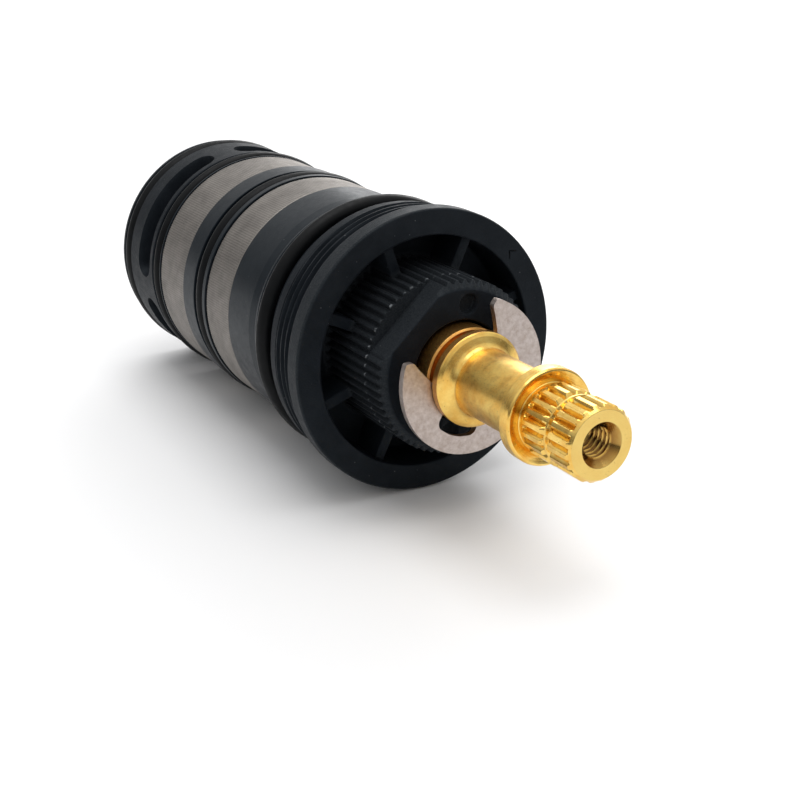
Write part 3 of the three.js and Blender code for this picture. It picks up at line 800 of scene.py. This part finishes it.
def e_clip(material):
    """Stamped retaining clip: three prongs grip the spindle, and the two windows let it spring open."""
    front, back = stretch("e_clip")
    radius = -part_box("e_clip")[0][2] / MM
    seat, window, opening = 4.25, 7.0, 26
    side = [(radius, 45.5, 0.35), (8.2, 43.5, 0.5), (7.3, 48, 0.5), (5.9, 57, 0.6), (seat, 75, 0.3)]
    side += [(seat, 84, 0), (seat, 93, 0), (seat, 102, 0.3), (window, 111, 1.0), (window, 128, 0)]
    side += [(window, 134, 0), (window, 140, 0), (window, 157, 1.0), (seat, 165, 0.3), (seat, 172, 0)]
    rest = [(r, 360 - at, fillet) for r, at, fillet in reversed(side)]
    outer = [(radius, 310 - 260 * i / 90, 0) for i in range(91)]
    corners = [(*polar(r, opening + at), fillet) for r, at, fillet in side + rest + outer]
    outline = [tuple(point) for point in rounded(corners, 6, 0.0)]
    made = prism("e_clip.plate", outline, front, back, 0.1, 3)
    apply_modifiers(made)
    return finished(made, "e_clip", "spindle", material)


# ---- Drive inside the bonnet ----
def thrust_washer(material):
    front, back, radius = span("thrust_washer")
    bore = 5.75
    made = turned("thrust_washer.ring", [
        (front, bore, 0.08), (front, radius, 0.12), (back, radius, 0.12), (back, bore, 0.08),
    ], 128)
    return finished(made, "thrust_washer", "housing", material)


def regulating_nut(material):
    front, back, _ = span("regulating_nut")
    barrel, key_top, groove_r = 7.6, 9.0, 7.05
    step, chamber, bore = front + 5.6, 6.3, 3.85
    groove = back - 1.2
    made = turned("regulating_nut.body", [
        (front, bore, 0.1), (front, barrel, 0.3), (back, barrel, 0.3), (back, chamber, 0.15),
        (groove + 0.9, chamber, 0.05), (groove + 0.9, groove_r, 0.05), (groove, groove_r, 0.05),
        (groove, chamber, 0.05), (step, chamber, 0.3), (step, bore, 0.1),
        *rows_between(step - 0.3, front + 0.3, bore, 40),
    ], 192, nut_thread)
    key_width, key_foot, key_from, key_to = 2, 7.0, front + 0.6, front + 6.8
    keys = []
    for side in (0, 180):
        outline = box_outline(key_width, key_foot, key_top, side)
        keys.append(prism("key", outline, key_from, key_to, 0.15, 2))
    join_by_boolean(made, keys, "UNION")
    return finished(made, "regulating_nut", "nut", material)


def nut_thread(y, r, turn):
    threaded = (r > 3.8) & (r < 3.9)
    ridge = DRIVE_DEPTH * thread_height(y, turn, DRIVE_PITCH, left_hand=True)
    return y, np.where(threaded, r + ridge, r)


def retaining_ring(material):
    front, back, _ = span("nut_retaining_ring")
    gap, inner, outer = 20, 5.3, 6.95
    steps = 60
    angles = [gap + (360 - 2 * gap) * i / steps for i in range(steps + 1)]
    outline = [polar(outer, a) for a in angles] + [polar(inner, a) for a in reversed(angles)]
    made = prism("nut_retaining_ring.wire", outline, front, back, 0.08, 2)
    apply_modifiers(made)
    return finished(made, "nut_retaining_ring", "nut", material)


def spring_cup(material):
    front, back, radius = span("spring_cup")
    flange, boss, bore = front + 1.5, 3.2, 1.6
    made = turned("spring_cup.cup", [
        (front, 0.3), (front, boss, 0.4), (flange, boss, 0.25), (flange, radius, 0.2), (back, radius, 0.2),
        (back, bore + 0.3), (back - 0.3, bore), (flange + 0.4, bore, 0.1), (flange + 0.4, 0.3),
    ], 128, closed=False)
    return finished(made, "spring_cup", "cup", material)


def element_piston(material):
    front, back, radius = span("element_piston")
    made = turned("element_piston.rod", [
        (front, 0.3), (front, radius - 0.25, 0.05), (front + 0.3, radius, 0.1),
        (back - 0.3, radius, 0.1), (back, radius - 0.25, 0.05), (back, 0.3),
    ], 96, closed=False)
    return finished(made, "element_piston", "cup", material)


# ---- Wax element and shuttle ----
def element_guide(material):
    front, back, flange_r = span("element_guide")
    barrel, neck, bore = 3.3, 4.1, 1.6
    flange = back - 3.0
    made = turned("element_guide.guide", [
        (back - 1.8, 0.3), (back - 1.8, bore, 0.1), (front + 0.4, bore), (front, bore + 0.4),
        (front, barrel, 0.3), (flange - 1.6, barrel), (flange - 1.3, barrel - 0.3, 0.1),
        (flange, barrel - 0.3, 0.2), (flange, flange_r, 0.25), (flange + 1.6, flange_r, 0.25),
        (flange + 1.6, neck, 0.15), (back, neck, 0.15), (back, 0.3),
    ], 128, closed=False)
    return finished(made, "element_guide", "shuttle", material)


def element_bulb(material):
    front, back, radius = span("element_bulb")
    lip, inside = 0.35, 4.3
    made = turned("element_bulb.case", [
        (front + 1.6, 0.3), (front + 1.6, inside, 0.1), (front, inside, 0.05), (front, radius - 0.1, 0.1),
        (front + lip, radius, 0.12), (front + 1.5, radius, 0.1), (front + 1.75, radius - 0.18, 0.15),
        (front + 2.0, radius, 0.1), (back - 1.6, radius, 1.0), (back - 0.45, radius - 0.65, 0.8),
        (back, radius - 2.0, 0.4), (back, 0.3),
    ], 128, closed=False)
    return finished(made, "element_bulb", "shuttle", material)


def shuttle(material):
    front, back, radius = span("shuttle")
    inner, hub_r, bore = 8.8, 6.8, 4.8
    seal_from, seal_to, root = gland("shuttle_seal", 0.15, 0.15)
    made = turned("shuttle.slide", [
        (front, inner + 0.9, 0.1), (front, radius - 0.4, 0.1), (front + 0.4, radius, 0.1),
        (seal_from, radius, 0.1), (seal_from, root, 0.15), (seal_to, root, 0.15),
        (seal_to, radius, 0.1), (back - 0.4, radius, 0.1), (back, radius - 0.4, 0.1),
        (back, inner + 0.9, 0.1), (back - 1.2, inner, 0.2), (front + 1.2, inner, 0.2),
    ], 160)
    hub_from, hub_to = back - 2.6, back - 0.7
    collar = turned("collar", [
        (hub_from, bore, 0.2), (hub_from, hub_r, 0.2), (hub_to, hub_r, 0.2), (hub_to, bore, 0.2),
    ], 128)
    spokes = []
    for at in (45, 135, 225, 315):
        outline = box_outline(2, hub_r - 0.4, inner + 0.6, at)
        spokes.append(prism("spoke", outline, hub_from + 0.01, hub_to - 0.01, 0.25, 2))
    join_by_boolean(collar, spokes, "UNION")
    join_by_boolean(made, [collar], "UNION")
    return finished(made, "shuttle", "shuttle", material)


# ---- Body, ports, seats and strainers ----
def ports():
    """The two port bands, worked out from the strainers that lie in them: (first y, last y)."""
    bands = []
    for name in ("cold_strainer", "hot_strainer"):
        front, back = stretch(name)
        bands.append((front - 0.2, back + 0.2))
    return bands


def body_sleeve(material):
    front, back, radius = span("body_sleeve")
    (cold_front, cold_back), (hot_front, hot_back) = ports()
    floor, bore, socket, partition = 14.5, 12.6, 13.5, 11.25
    lip_r, barrel_r, rear_r = radius - 0.35, radius - 0.12, radius - 0.1
    seal_from, seal_to, seal_root = gland("middle_o_ring", 0.3, 0.3)
    rear_from, _, rear_root = gland("rear_o_ring", 0.2, 0)
    wall_from, wall_to = seal_from - 0.35, hot_front - 0.4
    made = turned("body_sleeve.barrel", [
        (front, socket, 0.2), (front, lip_r, 0.2), (front + 0.42, radius, 0.3),
        (front + 1.1, radius - 0.24, 0.4), (front + 2.6, barrel_r, 0.8),
        (cold_front, barrel_r, 0.08), (cold_front, floor, 0.1), (cold_back, floor, 0.1),
        (cold_back, radius, 0.1), (seal_from, radius, 0.08), (seal_from, seal_root, 0.2),
        (seal_to, seal_root, 0.2), (seal_to, radius, 0.12), (hot_front, radius, 0.15),
        (hot_front, floor, 0.1), (hot_back, floor, 0.1), (hot_back, rear_r, 0.1),
        (rear_from, rear_r, 0.08), (rear_from, rear_root, 0.1),
        (back, rear_root, 0.1), (back, bore, 0.2), (wall_to, bore, 0.2), (wall_to, partition, 0.2),
        (wall_from, partition, 0.2), (wall_from, bore, 0.2), (cold_front - 0.4, bore, 0.2),
        (cold_front - 0.4, socket, 0.15),
    ], 256)
    window_width, window_rim = 7.2, 1
    windows = []
    for y0, y1 in ports():
        for at in range(0, 360, 45):
            outline = box_outline(window_width, 10, 16, at)
            windows.append(prism("window", outline, y0 + window_rim, y1 - window_rim))
    join_by_boolean(made, windows, "DIFFERENCE")
    return finished(made, "body_sleeve", "housing", material)


WIRES = 296
WIRE_PITCH = 0.32
WIRE_SAMPLES = 3


def strainer(node_name, material):
    """A band of plain-woven wire cloth with real relief, folded under along both edges."""
    front, back, outer = span(node_name)
    inner = outer - 0.4
    rows = int((back - front - 0.2) / WIRE_PITCH * WIRE_SAMPLES)
    y_line = np.linspace(front + 0.1, back - 0.1, rows + 1)
    turn_line = np.linspace(0, TAU, WIRES * WIRE_SAMPLES, endpoint=False)
    y, turn = np.meshgrid(y_line, turn_line, indexing="ij")
    u = turn / TAU * WIRES
    v = y / WIRE_PITCH
    over = np.cos(math.pi * np.round(u)) * np.cos(math.pi * v)
    along_wire = 0.02 * over - 0.07 * (1 - np.cos(TAU * (u - np.round(u)))) / 2
    under = -np.cos(math.pi * np.round(v)) * np.cos(math.pi * u)
    round_wire = 0.02 * under - 0.07 * (1 - np.cos(TAU * (v - np.round(v)))) / 2
    r = outer - 0.03 + np.maximum(along_wire, round_wire)
    edge = np.ones((1, turn.shape[1]))
    y = np.vstack([y, edge * back, edge * back, edge * front, edge * front])
    r = np.vstack([r, edge * (outer - 0.1), edge * inner, edge * inner, edge * (outer - 0.1)])
    turn = np.vstack([turn, np.repeat(turn[:1], 4, 0)])
    made = grid_object(node_name + ".cloth", y, r, turn, smooth_below=60)
    return finished(made, node_name, "housing", material)


def seat_ring(node_name, opens_back, material):
    front, back, radius = span(node_name)
    bore = 8.6
    corners = [
        (front, bore, 0.1), (front, radius, 0.15), (back - 0.5, radius, 0.1),
        (back - 0.5, radius - 0.7, 0.1), (back, radius - 1.1, 0.15), (back, bore + 0.5, 0.15),
    ]
    if not opens_back:
        corners = [(front + back - y, r, fillet) for y, r, fillet in corners]
    made = turned(node_name + ".ring", corners, 160)
    return finished(made, node_name, "housing", material)


# ---- Tail ----
def tail_cage(material):
    spigot, back, radius = span("tail_cage")
    front = spigot + 3.15
    spigot_r, inner, mouth, rim_r = 12.35, 11.1, 9.0, radius - 0.2
    lip = back - 4.25
    seal_from, seal_to, seal_root = gland("tail_o_ring", 0.35, 0.25)
    made = turned("tail_cage.cage", [
        (spigot, inner, 0.2), (spigot, spigot_r, 0.3), (front, spigot_r, 0.1), (front, radius, 0.2),
        (seal_from, radius, 0.15), (seal_from, seal_root, 0.2), (seal_to, seal_root, 0.2),
        (seal_to, rim_r, 0.15), (back, rim_r, 0.5), (back, mouth, 0.4),
        (lip, mouth, 0.3), (lip, inner, 0.3),
    ], 256)
    slot_from, slot_to = front + 1.25, front + 4.75
    slots = [outlet_slot(slot_from, slot_to, at) for at in (55, 145, 235, 325)]
    join_by_boolean(made, [middle for middle, _ in slots], "DIFFERENCE")
    join_by_boolean(made, [end for _, ends in slots for end in ends], "DIFFERENCE")
    return finished(made, "tail_cage", "housing", material)


def outlet_slot(y0, y1, turn):
    """Cutters for a slot round the tail, flared at its mouth: its middle, and its two round ends."""
    span_degrees, flare, outside_r = 76, 0.3, 15.25
    end_r = (y1 - y0) / 2
    depth = [(9.6, 0), (14.75, 0), (15.3, flare), (17, flare)]
    half = span_degrees / 2 - math.degrees(end_r / outside_r)
    steps = 20
    points = []
    for i in range(steps + 1):
        x, z = polar(1, turn - half + 2 * half * i / steps)
        section = [(y0 - wide, r) for r, wide in depth] + [(y1 + wide, r) for r, wide in reversed(depth)]
        points += [(x * r * MM, y * MM, z * r * MM) for y, r in section]
    middle = capped_tube("slot", points, 2 * len(depth))
    ends = [slot_end((y0 + y1) / 2, end_r, depth, turn + side * half) for side in (-1, 1)]
    return middle, ends


def slot_end(middle, end_r, depth, degrees):
    """A round cutter that points away from the axis, as wide at each radius as depth says."""
    count = 40
    x, z = polar(1, degrees)
    out = Vector((x, 0, z))
    side = out.cross(Vector((0, 1, 0)))
    points = []
    for r, wide in depth:
        for k in range(count):
            t = TAU * k / count
            reach = end_r + wide
            place = out * r + side * reach * math.cos(t) + Vector((0, middle + reach * math.sin(t), 0))
            points.append(tuple(place * MM))
    return capped_tube("slot_end", points, count)


def spring_seat(material):
    front, back, radius = span("spring_seat")
    bore, hole_ring, hole_r = 5.2, 9.2, 0.9
    made = turned("spring_seat.disc", [
        (front, bore, 0.2), (front, radius, 0.15), (back, radius, 0.15), (back, bore, 0.2),
    ], 160)
    holes = []
    for at in range(0, 360, 60):
        x, z = polar(hole_ring, at)
        holes.append(dimple(x, front, z, hole_r, back - front + 1))
    join_by_boolean(made, holes, "DIFFERENCE")
    return finished(made, "spring_seat", "housing", material)


# ---- The part ----
HUB_FACE, _, FLANGE_R = span("bonnet")
TOOTH_ENDS = HUB_FACE + 3.6
SPINDLE_END = span("spindle")[0]
NECK_FROM = SPINDLE_END + 9.6
CONE_FROM = SPINDLE_END + 20.6
CONE_TO = SPINDLE_END + 22.2

BLACK = moulded(
    "moulded_black", PLASTIC_DEEP, PLASTIC_LIGHT, roughness=0.5, specular=0.12, grain=0.04,
    grain_scale=4.5, painted_light_at=(HUB_R, HUB_FACE, TOOTH_ENDS, FLANGE_R),
)
GREY = moulded(
    "satin_sleeve", SLEEVE_DEEP, SLEEVE_LIGHT, roughness=0.34, specular=0.15, grain=0.01, grain_scale=6,
)
WHITE = moulded("white_acetal", ACETAL_DEEP, ACETAL_LIGHT, roughness=0.42, specular=0.5, grain=0.004)
SEAL = rubber("black_nitrile", RUBBER_DEEP, RUBBER_LIGHT, roughness=0.42)
BRASS = brass("turned_brass", NECK_FROM, CONE_FROM, CONE_TO, SPINDLE_END)
COPPER = metal("copper_case", COPPER_DEEP, COPPER_LIGHT, roughness=0.3, marks=8, turned_marks=True)
CLIP_STEEL = metal("tumbled_steel", CLIP_DEEP, CLIP_LIGHT, roughness=0.38, marks=8, depth=0.018)
SPRING_STEEL = metal("spring_steel", SPRING_DEEP, SPRING_LIGHT, roughness=0.28, marks=5, depth=0.003)
CLOTH = woven_wire("wire_cloth", WIRES, WIRE_PITCH)

bonnet(BLACK)
o_ring("bonnet_o_ring", SEAL)
spindle(BRASS)
e_clip(CLIP_STEEL)
o_ring("spindle_o_ring_front", SEAL, "spindle", 96)
o_ring("spindle_o_ring_rear", SEAL, "spindle", 96)
thrust_washer(WHITE)
regulating_nut(BRASS)
coil("overload_spring", "nut", SPRING_STEEL, turns=4.5, wire=0.5)
retaining_ring(SPRING_STEEL)
spring_cup(SPRING_STEEL)
element_piston(SPRING_STEEL)
element_guide(BRASS)
element_bulb(COPPER)
shuttle(WHITE)
o_ring("shuttle_seal", SEAL, "shuttle", 128)
body_sleeve(GREY)
strainer("cold_strainer", CLOTH)
strainer("hot_strainer", CLOTH)
o_ring("middle_o_ring", SEAL)
o_ring("rear_o_ring", SEAL)
seat_ring("cold_seat", True, SPRING_STEEL)
seat_ring("hot_seat", False, SPRING_STEEL)
tail_cage(BLACK)
o_ring("tail_o_ring", SEAL)
coil("return_spring", "shuttle", SPRING_STEEL, turns=5, wire=0.6)
spring_seat(SPRING_STEEL)

# ---- Floor and lights ----
TAIL_R = span("tail_o_ring")[2]
TAIL_Y = sum(stretch("tail_o_ring")) / 2
FLOOR_SLOPE = math.atan((FLANGE_R - TAIL_R) / TAIL_Y)
FLOOR_GAP = 0.0001


def paper(name):
    material, tree, shader = new_material(name, Roughness=0.55, Specular_IOR_Level=0.3)
    where = millimetres(tree)
    shade = blend_colour(tree, noise(tree, where, 0.02, 3), PAPER_DEEP, PAPER_LIGHT)
    plug(tree, shader, Base_Color=shade, Normal=bump(tree, noise(tree, where, 2, 2), 0.01))
    return material


def floor():
    half = 1.5
    corners = [(-half, -half, 0), (half, -half, 0), (half, half, 0), (-half, half, 0)]
    made = object_from("floor", corners, [(0, 1, 2, 3)])
    made.rotation_euler = (FLOOR_SLOPE, 0, 0)
    made.location = (0, 0, -FLANGE_R * MM - FLOOR_GAP)
    made.data.materials.append(paper("white_paper"))


def softbox(name, place, target, size, power):
    lamp = bpy.data.lights.new(name, "AREA")
    lamp.shape = "RECTANGLE"
    lamp.size = lamp.size_y = size
    lamp.energy = power
    made = bpy.data.objects.new(name, lamp)
    made.location = place
    made.rotation_euler = (Vector(target) - Vector(place)).to_track_quat("-Z", "Y").to_euler()
    bpy.context.collection.objects.link(made)


def surroundings():
    """A white studio tent, brighter towards the top and towards the backdrop, back right."""
    world = bpy.data.worlds.new("studio")
    bpy.context.scene.world = world
    world.use_nodes = True
    tree = world.node_tree
    way = node(tree, "ShaderNodeTexCoord").outputs["Generated"]
    up = node(tree, "ShaderNodeSeparateXYZ", {0: way}).outputs[2]
    tent = spread(tree, up, 0.02, 0.62, 0.07, 0.84)
    back_right = node(tree, "ShaderNodeVectorMath", {0: way, 1: (0.7, 0.71, 0)}, operation="DOT_PRODUCT")
    backdrop = spread(tree, back_right.outputs["Value"], 0.35, 0.95, 0.0, 0.55)
    level = calc(tree, "MINIMUM", calc(tree, "ADD", tent, backdrop), 1.0)
    background = tree.nodes["Background"]
    tint = blend_colour(tree, level, (0, 0, 0, 1), (1, 1, 1, 1))
    tree.links.new(tint, background.inputs["Color"])


floor()
softbox("overhead", (0, 0, 1), (0, 0, 0), size=0.84, power=5.2)
softbox("back_right", (0.72, 0.78, 0.49), (0, 0, 0), size=0.6, power=3.6)
surroundings()
bpy.context.scene.view_settings.view_transform = "Standard"
